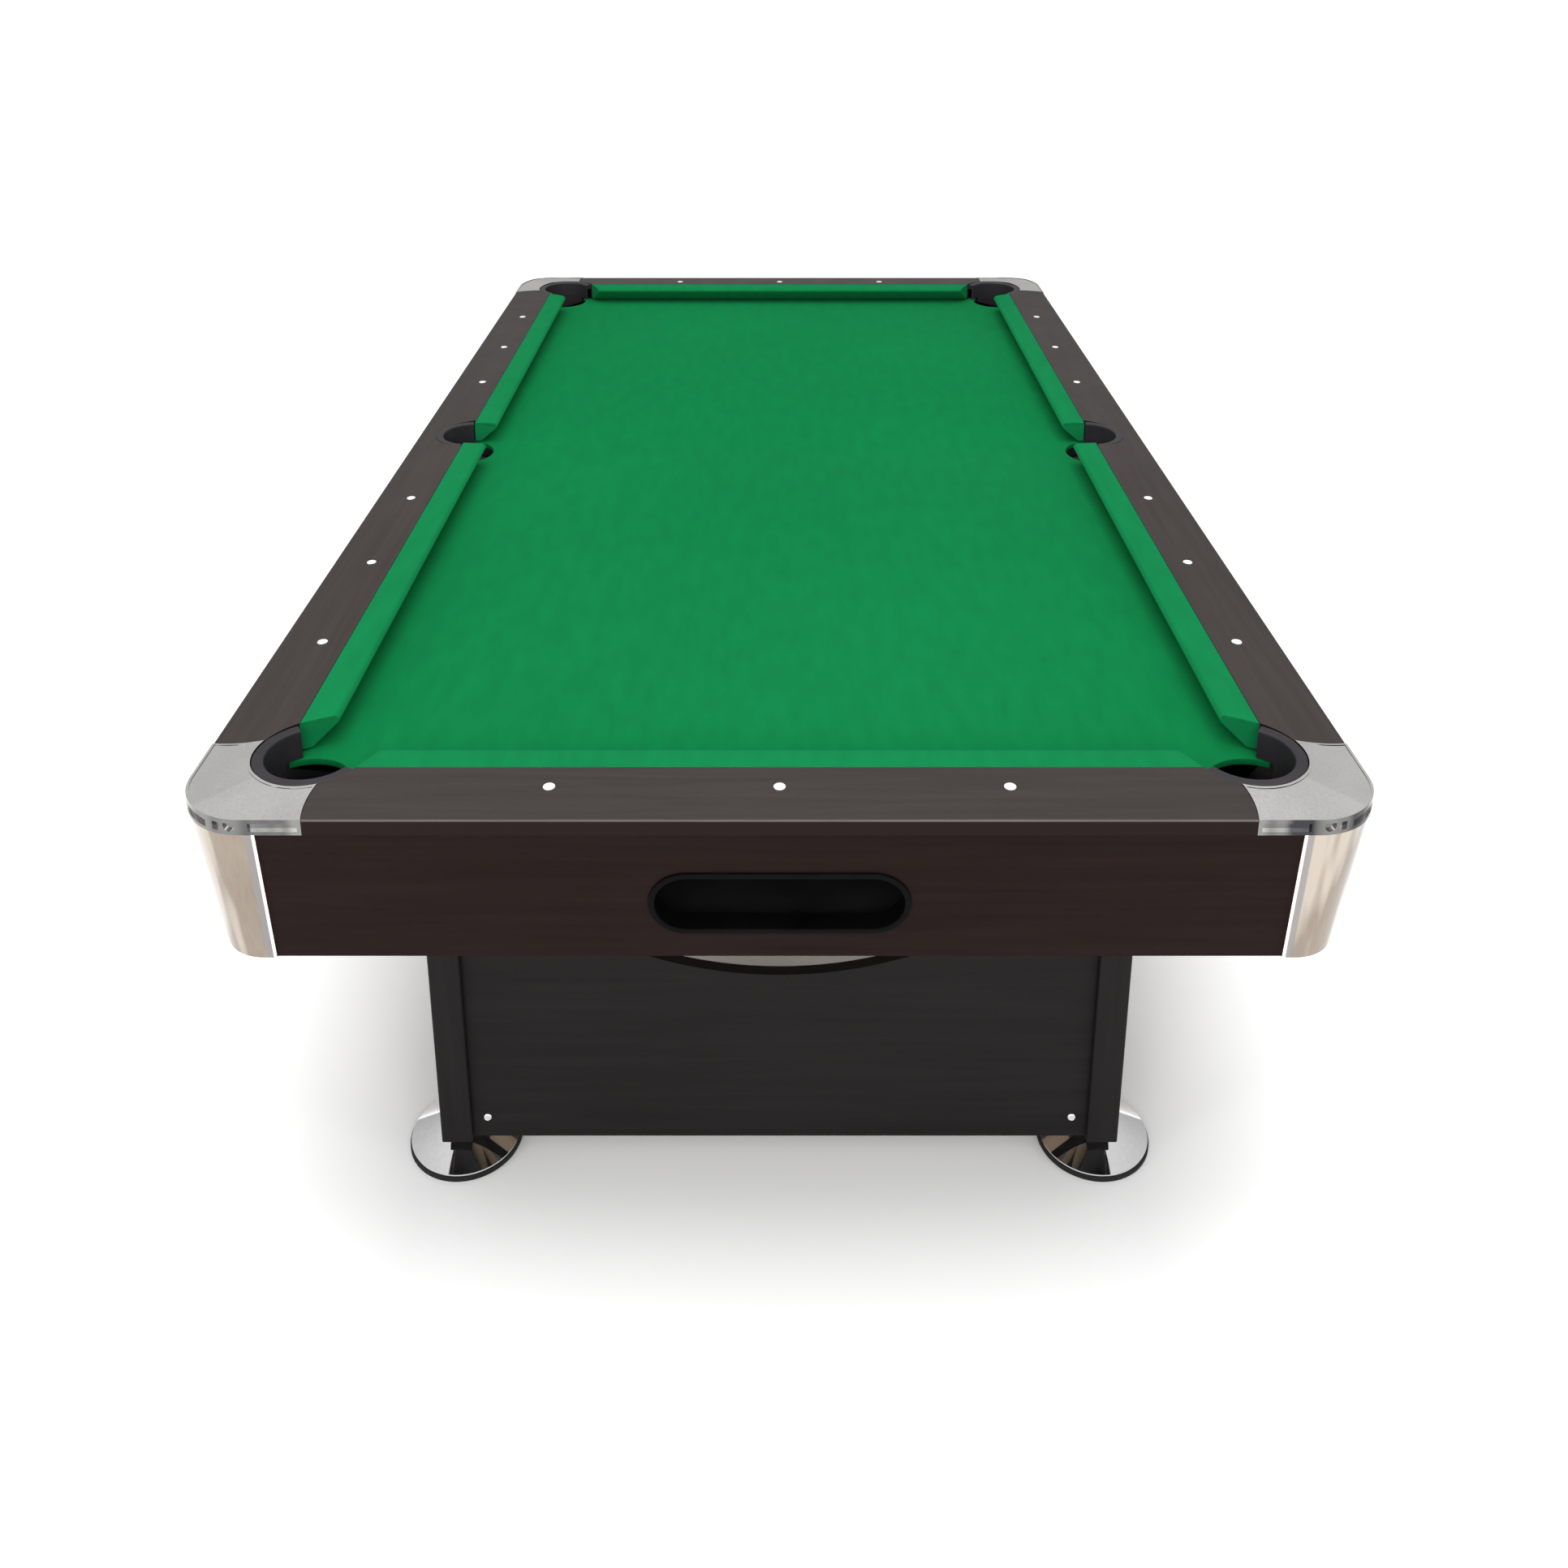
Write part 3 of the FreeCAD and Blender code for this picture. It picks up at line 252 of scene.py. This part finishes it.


# painted light and shade: the rails and aprons are one laminate, painted lighter on the rails, whose tops
# catch the light, and darker on the upright aprons
apronLook = {"dark": (0.0118, 0.0062, 0.0054), "light": (0.0160, 0.0088, 0.0078),
             "rough": (0.37, 0.49), "shine": 0.03}
railLook = {"dark": (0.0425, 0.0360, 0.0335), "light": (0.0540, 0.0460, 0.0430),
            "rough": (0.31, 0.43), "shine": 0.03,
            # the last colour is a painted highlight for the rounded edge; the outer-face colour is painted
            # shade
            "side": (0.0165, 0.0105, 0.0098), "paintedEdgeHighlight": (0.15, 0.13, 0.12)}
legLook = {"dark": (0.0108, 0.0098, 0.0096), "light": (0.0146, 0.0132, 0.0130),
           "rough": (0.39, 0.51), "shine": 0.07}
# the axis that the printed grain runs along
laminates = {
    "railEnds": dict(railLook, grain="X"), "railSides": dict(railLook, grain="Y"),
    "apronEnds": dict(apronLook, grain="X"), "apronSides": dict(apronLook, grain="Y"),
    "legs": dict(legLook, grain="Z"), "panels": dict(legLook, grain="X"),
}


def drawnOut(axis, share):
    return tuple(share if name == axis else 1 for name in "XYZ")


def makeLaminate(name, look):
    # printed wood grain under a satin film: long fine streaks, broken by short dark pores
    board = Finish(name, {"Specular IOR Level": look["shine"]})
    streak = board.noise(70, 6.0, drawnOut(look["grain"], 0.05), 0.6)
    pore = board.noise(620, 2.0, drawnOut(look["grain"], 0.12))
    haze = board.noise(3.2, 2.0)
    tone = board.spread(streak * 0.7 + haze * 0.3, 0, 1, 0.35, 0.65)
    grain = board.blend(tone, solid(look["dark"]), solid(look["light"]))
    dotted = board.blend(board.spread(pore, 0, 0.35, 0.62, 0.75), grain, solid(look["dark"], 0.6))
    smear = board.noise(14, 3.0)
    if "side" in look:
        # painted shade and highlight: the outer face of a rail is painted darker, and the rounded edge above
        # it is painted pale as a highlight
        upward = board.upward()
        dotted = board.blend(board.spread(upward, 1, 0, 0.2, 0.5), dotted, solid(look["side"]))
        edge = board.spread(upward, 0, 1, 0.3, 0.6) * board.spread(upward, 1, 0, 0.93, 0.99)
        dotted = board.blend(edge * board.spread(streak, 0.5, 0.9), dotted, solid(look["paintedEdgeHighlight"]))
    board.set({"Base Color": dotted, "Roughness": board.spread(smear * 0.6 + streak * 0.4, *look["rough"])})
    board.bump(streak * 0.5 + pore * 0.5, 0.10, 0.0002)
    return board


# marks and stretch give the size and direction of the polishing marks
metals = {
    "satinSilver": {"dark": (0.66, 0.65, 0.63), "light": (0.80, 0.79, 0.77), "rough": (0.12, 0.20),
                    "marks": 420, "stretch": (1, 1, 1), "bump": 0.05},
    "champagneSilver": {"dark": (0.25, 0.208, 0.168), "light": (0.31, 0.260, 0.212), "rough": (0.16, 0.24),
                        "marks": 300, "stretch": (1, 1, 0.04), "bump": 0.04},
    "brightChrome": {"dark": (0.80, 0.80, 0.81), "light": (0.90, 0.90, 0.91), "rough": (0.03, 0.08),
                     "marks": 160, "stretch": (1, 1, 1), "bump": 0.02},
    "zincSteel": {"dark": (0.50, 0.51, 0.53), "light": (0.66, 0.67, 0.68), "rough": (0.3, 0.42),
                  "marks": 500, "stretch": (1, 1, 0.3), "bump": 0.08},
}


def makeMetal(name, look):
    metal = Finish(name, {"Metallic": 1.0})
    marks = metal.noise(look["marks"], 4.0, look["stretch"])
    cloud = metal.noise(9, 3.0)
    wear = metal.noise(38, 5.0, (1, 1, 1), 0.8)
    tone = metal.spread(cloud * 0.6 + marks * 0.4, 0, 1, 0.35, 0.65)
    metal.colour = metal.blend(tone, solid(look["dark"]), solid(look["light"]))
    metal.set({"Base Color": metal.colour,
               "Roughness": metal.spread(marks * 0.5 + wear * 0.5, *look["rough"])})
    metal.bump(marks, look["bump"], 0.0003)
    return metal


# the dark band and light streaks of painted reflection on the caps' outer edges
capReflectionBand = {"dark": (0.045, 0.045, 0.05), "light": (0.22, 0.22, 0.21), "gleamScale": 17}


def paintCapReflections(metal):
    # satin on top; down the outer edge, between the rounded lips, a painted reflection: a dark band with
    # light streaks
    flank = metal.spread(metal.maths("ABSOLUTE", metal.upward()), 1, 0, 0.15, 0.35)
    gleam = metal.spread(metal.noise(capReflectionBand["gleamScale"], 2.0, (1, 1, 0.05)), 0, 1, 0.44, 0.60)
    band = metal.blend(gleam, solid(capReflectionBand["dark"]), solid(capReflectionBand["light"]))
    metal.set({"Base Color": metal.blend(flank, metal.colour, band)})


# where the shrouds end, how far their polished line and grey strip reach in, and how softly those stop
# the band scale and the pale colour are for the upright bands of painted reflection
shroud = {"endX": 0.620, "endY": 1.180, "line": 0.0035, "strip": 0.011, "soften": 1.2, "reflectionBandScale": 30,
          "pale": (0.49, 0.432, 0.370), "grey": (0.25, 0.245, 0.25), "polished": (0.93, 0.93, 0.92)}


def stripeShrouds(metal):
    # champagne foil with soft upright bands of painted reflection, greyer along its ends, and polished where
    # it meets the apron
    reflectionBands = metal.spread(metal.noise(shroud["reflectionBandScale"], 2.0, (1, 1, 0.02)), 0, 1, 0.44, 0.56)
    foil = metal.blend(reflectionBands, metal.colour, solid(shroud["pale"]))
    spot = metal.mirrored()

    def within(reach):
        ends = []
        for axis, end in (("X", shroud["endX"]), ("Y", shroud["endY"])):
            stop = end + reach * shroud["soften"]
            ends.append(metal.spread(metal.along(spot, axis), 1, 0, end + reach, stop))
        return metal.maths("MAXIMUM", ends[0], ends[1])

    greyed = metal.blend(within(shroud["strip"]) * 0.8, foil, solid(shroud["grey"]))
    metal.set({"Base Color": metal.blend(within(shroud["line"]), greyed, solid(shroud["polished"]))})


plastics = {
    "pocketPlastic": {"dark": (0.022, 0.020, 0.023), "light": (0.034, 0.031, 0.036), "rough": (0.34, 0.46),
                      "grain": 520, "bump": 0.12, "shine": 0.16},
    "bezelPlastic": {"dark": (0.002, 0.0018, 0.0022), "light": (0.004, 0.0036, 0.0042), "rough": (0.30, 0.42),
                     "grain": 640, "bump": 0.08, "shine": 0.03},
    "gutterPlastic": {"dark": (0.009, 0.009, 0.010), "light": (0.015, 0.015, 0.017), "rough": (0.45, 0.6),
                      "grain": 420, "bump": 0.15, "shine": 0.16},
    "footRubber": {"dark": (0.010, 0.010, 0.010), "light": (0.020, 0.020, 0.020), "rough": (0.6, 0.78),
                   "grain": 380, "bump": 0.25, "shine": 0.16},
    "cushionRubber": {"dark": (0.014, 0.014, 0.014), "light": (0.024, 0.024, 0.024), "rough": (0.6, 0.78),
                      "grain": 380, "bump": 0.2, "shine": 0.16},
}


def makePlastic(name, look):
    # moulded plastic or rubber: a fine leathery mould grain with a few duller patches
    plastic = Finish(name, {"Specular IOR Level": look["shine"]})
    grain = plastic.cells(look["grain"])
    fine = plastic.noise(look["grain"] * 1.7, 3.0)
    patch = plastic.noise(11, 4.0)
    tone = plastic.spread(patch * 0.7 + fine * 0.3, 0, 1, 0.35, 0.65)
    plastic.set({"Base Color": plastic.blend(tone, solid(look["dark"]), solid(look["light"])),
                 "Roughness": plastic.spread(patch * 0.6 + fine * 0.4, *look["rough"])})
    plastic.bump(grain * 0.7 + fine * 0.3, look["bump"], 0.0003)
    return plastic


boards = {
    "pine": {"dark": (0.046, 0.029, 0.021), "light": (0.082, 0.054, 0.038),
             "rings": 26, "stretch": (1, 0.06, 1)},
    "fibreboard": {"dark": (0.26, 0.185, 0.12), "light": (0.36, 0.27, 0.18),
                   "rings": 300, "stretch": (1, 1, 1)},
}


def makeBoard(name, look):
    # the stained timber and the fibreboard inside the frame
    board = Finish(name, {})
    rings = board.noise(look["rings"], 6.0, look["stretch"], 1.2)
    fibre = board.noise(look["rings"] * 6, 3.0, look["stretch"])
    tone = board.spread(rings * 0.7 + fibre * 0.3, 0, 1, 0.35, 0.65)
    board.colour = board.blend(tone, solid(look["dark"]), solid(look["light"]))
    board.set({"Base Color": board.colour, "Roughness": board.spread(fibre, 0.66, 0.84)})
    board.bump(rings * 0.5 + fibre * 0.5, 0.2, 0.0004)
    return board


# the colour and reach of the painted shade round the pockets
pocketShadePaint = {"reach": 0.082, "soften": 0.003, "colour": (0.012, 0.012, 0.013)}


def paintPocketShade(board):
    # painted shade: the slab is painted dark round every pocket, where the holes lie in shade
    spot, reach = board.mirrored((1, 1, 0)), pocketShadePaint["reach"]
    away = [board.vector("DISTANCE", spot, centre, "Value") for centre in pocketCuts.values()]
    pocketShadeMask = sum(board.spread(distance, 1, 0, reach, reach + pocketShadePaint["soften"]) for distance in away)
    board.set({"Base Color": board.blend(pocketShadeMask, board.colour, solid(pocketShadePaint["colour"]))})


def makePearl():
    pearl = Finish("pearlWhite", {"Coat Weight": 0.5, "Coat Roughness": 0.08})
    swirl = pearl.noise(260, 3.0, (1, 1, 1), 2.0)
    milky = pearl.blend(pearl.spread(swirl, 0, 1), (0.80, 0.78, 0.73, 1), (0.95, 0.94, 0.92, 1))
    pearl.set({"Base Color": milky, "Roughness": pearl.spread(swirl, 0.2, 0.34)})
    pearl.bump(swirl, 0.05, 0.0002)
    return pearl


def makeFinishes():
    made = {"pearlWhite": makePearl()}
    for makeOne, looks in ((makeLaminate, laminates), (makeBaize, baizeColours), (makeMetal, metals),
                           (makePlastic, plastics), (makeBoard, boards)):
        for name, look in looks.items():
            made[name] = makeOne(name, look)
    paintCapReflections(made["satinSilver"])
    stripeShrouds(made["champagneSilver"])
    paintPocketShade(made["fibreboard"])
    return made


def makeFloorFinish(floor):
    finish = Finish("studioFloorFinish", {"Roughness": studio["floorRoughness"], "Specular IOR Level": 0.1,
                                          "Emission Strength": studio["floorGlow"]})
    # painted light: lit a little from within, like a glowing sweep, and the glow left out beneath the table
    # paints a shadow there
    beyond = finish.vector("SUBTRACT", finish.mirrored((1, 1, 0)), studio["shadeHalf"])
    away = finish.vector("LENGTH", finish.vector("MAXIMUM", beyond), output="Value")
    glow = sum(finish.spread(away, 0, *step) for step in studio["glowSteps"])
    finish.set({"Emission Color": finish.blend(glow, (0, 0, 0, 1), (1, 1, 1, 1))})
    drift = finish.spread(finish.noise(0.6, 2.0), 0.0, 1.0)
    pale = studio["floorColour"]
    finish.set({"Base Color": finish.blend(drift, pale, solid(pale[:3], 0.985))})
    floor.data.materials.append(finish.material)


# which finish each CAD node takes
dressing = {
    "fibreboard": ["bed_slab"],
    "pine": ["side_beams", "cross_beams", "panel_cleats", "corner_brackets"],
    "zincSteel": ["rail_bolts", "leg_inserts"] + ["foot_stem_" + corner for corner in corners],
    "pearlWhite": ["rail_sights"],
    "railEnds": ["rail_front", "rail_back"],
    "railSides": ["rail_left", "rail_right"],
    "apronEnds": ["apron_front", "apron_back"],
    "apronSides": ["apron_left", "apron_right"],
    "cushionRubber": ["cushion_rubbers"],
    "satinSilver": ["corner_cap_" + corner for corner in corners],
    "champagneSilver": ["corner_shroud_" + corner for corner in corners],
    "pocketPlastic": ["pocket_liner_" + place for place in corners + ("side_left", "side_right")],
    "bezelPlastic": ["return_bezel"],
    "gutterPlastic": ["ball_gutter_left", "ball_gutter_right", "front_runs", "ball_tray"],
    "panels": ["end_panel_front", "end_panel_back"],
    "legs": ["leg_post_" + corner for corner in corners],
    "brightChrome": ["panel_bolts"] + ["foot_dish_" + corner for corner in corners],
    "footRubber": ["foot_pad_" + corner for corner in corners],
}


def dressNodes(finishes):
    for name, members in dressing.items():
        for member in members:
            for slot in nodes[member].material_slots:
                slot.material = finishes[name].material
    print("frame dressed")


def editing(item):
    pick(item)
    bpy.ops.object.mode_set(mode="EDIT")
    bpy.ops.mesh.select_all(action="DESELECT")


def choose(item, kind, wanted):
    # selects the vertices, edges or faces whose middle (and normal, for faces) meets a test
    bpy.ops.object.mode_set(mode="EDIT")
    bpy.ops.mesh.select_mode(type=kind)
    bpy.ops.mesh.select_all(action="DESELECT")
    bpy.ops.object.mode_set(mode="OBJECT")
    mesh = item.data
    if kind == "VERT":
        for vertex in mesh.vertices:
            vertex.select = wanted(vertex.co)
    elif kind == "EDGE":
        for edge in mesh.edges:
            first, second = (mesh.vertices[index].co for index in edge.vertices)
            edge.select = wanted(first, second)
    else:
        for face in mesh.polygons:
            face.select = wanted(face.center, face.normal)
    bpy.ops.object.mode_set(mode="EDIT")


def block(name, low, high):
    # a cube primitive between two corners, with its place kept in the mesh
    deselect()
    low, high = Vector(low), Vector(high)
    bpy.ops.mesh.primitive_cube_add(size=1, location=(low + high) / 2, scale=high - low)
    item = bpy.context.object
    item.name = name
    item.data.name = name
    bpy.ops.object.transform_apply(location=True, rotation=True, scale=True)
    return item


def applyAll(item):
    pick(item)
    for modifier in list(item.modifiers):
        bpy.ops.object.modifier_apply(modifier=modifier.name)


def addModifier(item, kind, **settings):
    modifier = item.modifiers.new(kind.lower(), kind)
    for name, value in settings.items():
        setattr(modifier, name, value)
    return modifier


def takeAway(item, cutter):
    addModifier(item, "BOOLEAN", operation="DIFFERENCE", object=cutter, solver="EXACT")
    applyAll(item)
    bpy.data.objects.remove(cutter)


def near(value, target, within=0.0004):
    return abs(value - target) < within


bedCloth = {"thickness": 0.0014, "cutRadius": 0.0622, "cutSides": 96, "cutDepth": 0.2, "fold": 0.009,
            "foldRound": 0.0011, "spaceDepth": 0.05, "spaceMargin": 0.01}


def cutPlaces():
    x, y = pocketCuts["corner"][:2]
    side = pocketCuts["side"][0]
    return [(-x, -y), (x, -y), (-x, y), (x, y), (-side, 0), (side, 0)]


def boreThrough(item, radius, level):
    # removes an upright cylinder at every pocket
    for x, y in cutPlaces():
        deselect()
        bpy.ops.mesh.primitive_cylinder_add(vertices=bedCloth["cutSides"], radius=radius,
                                            depth=bedCloth["cutDepth"], location=(x, y, level))
        takeAway(item, bpy.context.object)


def makeBedCloth(finish):
    # a sheet with six holes, folded down over the edge of the slab round each of them
    low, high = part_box("bed_cloth")
    thickness, margin = bedCloth["thickness"], bedCloth["spaceMargin"]
    item = block("bedCloth", (low.x, low.y, high.z - bedCloth["fold"]), high)
    boreThrough(item, bedCloth["cutRadius"], high.z)
    space = block("spaceUnderCloth", (low.x - margin, low.y - margin, high.z - bedCloth["spaceDepth"]),
                  (high.x + margin, high.y + margin, high.z - thickness))
    boreThrough(space, bedCloth["cutRadius"] + thickness, high.z)
    takeAway(item, space)
    addModifier(item, "BEVEL", width=bedCloth["foldRound"], segments=3, limit_method="ANGLE",
                angle_limit=math.radians(50))
    applyAll(item)
    bpy.ops.object.shade_smooth_by_angle(angle=math.radians(40))
    item.data.materials.append(finish.material)
    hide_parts("bed_cloth")
    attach(item, "table")
    print("bed cloth made:", len(item.data.polygons), "faces")


# the profile's corners, each as far behind the nose and below the top
cushion = {"depth": 0.046, "crest": (0.005, 0.001), "nose": (0.0, 0.008), "chin": (0.0025, 0.012),
           "heel": (0.034, 0.039), "crestRound": 0.0034, "noseRound": 0.0019, "tuckRound": 0.0016,
           "endRound": 0.0012, "thickness": 0.001, "ripple": 0.0003, "rippleSize": 0.09, "cuts": 40,
           "overlap": 0.0016, "pleat": 0.0035, "pleatDepth": 0.0003,
           # how far the back stands out past the nose at each kind of pocket, the gap to the middle of a side
           # pocket, and the way round the profile
           "cornerSlant": 0.024, "sideSlant": 0.001, "sideGap": 0.060, "wrap": 0.107}


def makeCushion(name, node, length, slants, finish):
    # drawn along X with its nose towards +Y at the origin, and turned into place by the caller
    low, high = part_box(node)
    half = length / 2 + cushion["overlap"]
    depth = cushion["depth"]
    item = block(name, (-half, -depth, low.z), (half, 0, high.z))
    editing(item)
    for corner in ("nose", "chin"):
        bpy.ops.mesh.select_all(action="SELECT")
        bpy.ops.mesh.bisect(plane_co=(0, 0, high.z - cushion[corner][1]), plane_no=(0, 0, 1))
    levels = {"crest": high.z, "nose": high.z - cushion["nose"][1], "chin": high.z - cushion["chin"][1],
              "heel": low.z}
    for corner, level in levels.items():
        behind, below = cushion[corner]
        choose(item, "VERT", lambda point: near(point.y, 0) and near(point.z, level))
        bpy.ops.transform.translate(value=(0, -behind, high.z - below - level))
    for side, slant in ((-1, slants[0]), (1, slants[1])):
        # the end runs on towards the rail, in step with how far each corner lies behind the nose
        for behind in (depth, cushion["heel"][0], cushion["crest"][0], cushion["chin"][0]):
            choose(item, "VERT", lambda point: point.x * side > 0 and near(point.y, -behind))
            bpy.ops.transform.translate(value=(side * slant * behind / depth, 0, 0))
    for corner, width in (("crest", cushion["crestRound"]), ("nose", cushion["noseRound"])):
        behind, below = cushion[corner]
        choose(item, "EDGE", lambda first, second: abs(first.x - second.x) > half
               and near(first.y, -behind) and near(first.z, high.z - below))
        bpy.ops.mesh.bevel(offset=width, segments=4)
    choose(item, "EDGE", lambda first, second: abs(first.x - second.x) > half
           and near(first.y, -depth) and near(first.z, high.z))
    bpy.ops.mesh.bevel(offset=cushion["tuckRound"], segments=3)
    # cloth gathered over each end
    choose(item, "FACE", lambda middle, normal: abs(normal.x) > 0.7)
    bpy.ops.mesh.inset(thickness=cushion["pleat"], depth=-cushion["pleatDepth"])
    choose(item, "FACE", lambda middle, normal: near(middle.y, -depth) or normal.z < -0.95)
    bpy.ops.mesh.delete(type="FACE")
    choose(item, "EDGE", lambda first, second: (second - first).length > length * 0.8)
    bpy.ops.mesh.subdivide(number_cuts=cushion["cuts"])
    bpy.ops.object.mode_set(mode="OBJECT")
    addModifier(item, "BEVEL", width=cushion["endRound"], segments=2, limit_method="ANGLE",
                angle_limit=math.radians(42))
    clouds = bpy.data.textures.new(name + "Ripple", "CLOUDS")
    clouds.noise_scale = cushion["rippleSize"]
    addModifier(item, "DISPLACE", texture=clouds, strength=cushion["ripple"], mid_level=0.75)
    addModifier(item, "SOLIDIFY", thickness=cushion["thickness"], offset=-1)
    applyAll(item)
    bpy.ops.object.shade_smooth_by_angle(angle=math.radians(50))
    item.data.materials.append(finish.material)
    return item


def seatCushion(item, node, place, turn):
    pick(item)
    item.location = place
    item.rotation_euler = (0, 0, math.radians(turn))
    bpy.ops.object.transform_apply(location=True, rotation=True, scale=True)
    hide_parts(node)
    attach(item, "table")


def makeCushions(finish):
    slant, sideSlant, wrap = cushion["cornerSlant"], cushion["sideSlant"], cushion["wrap"]
    low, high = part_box("cushion_cloth_front")
    length = high.x - low.x - 2 * slant
    for name, end, turn in (("Front", 1, 0), ("Back", -1, 180)):
        node = "cushion_cloth_" + name.lower()
        item = makeCushion("cushion" + name, node, length, (slant, slant), finish)
        seatCushion(item, node, (0, end * high.y, 0), turn)
    low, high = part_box("cushion_cloth_left")
    pocketEnd, cornerEnd = cushion["sideGap"], high.y - slant
    length = cornerEnd - pocketEnd
    middle = (pocketEnd + cornerEnd) / 2
    for sideName, side in (("Left", -1), ("Right", 1)):
        node = "cushion_cloth_" + sideName.lower()
        for endName, end in (("Front", -1), ("Back", 1)):
            # its first end comes to the corner pocket on the front right and back left
            slants = (slant, sideSlant) if end * side < 0 else (sideSlant, slant)
            item = makeCushion("cushion" + sideName + endName, node, length, slants, finish)
            seatCushion(item, node, (side * -high.x, end * middle, 0), 90 * side)
    print("cushions made")


floor = makeStudio()
makeFloorFinish(floor)
print("studio set")
finishes = makeFinishes()
print("finishes made:", len(finishes))
dressNodes(finishes)
makeBedCloth(finishes["bedBaize"])
makeCushions(finishes["cushionBaize"])
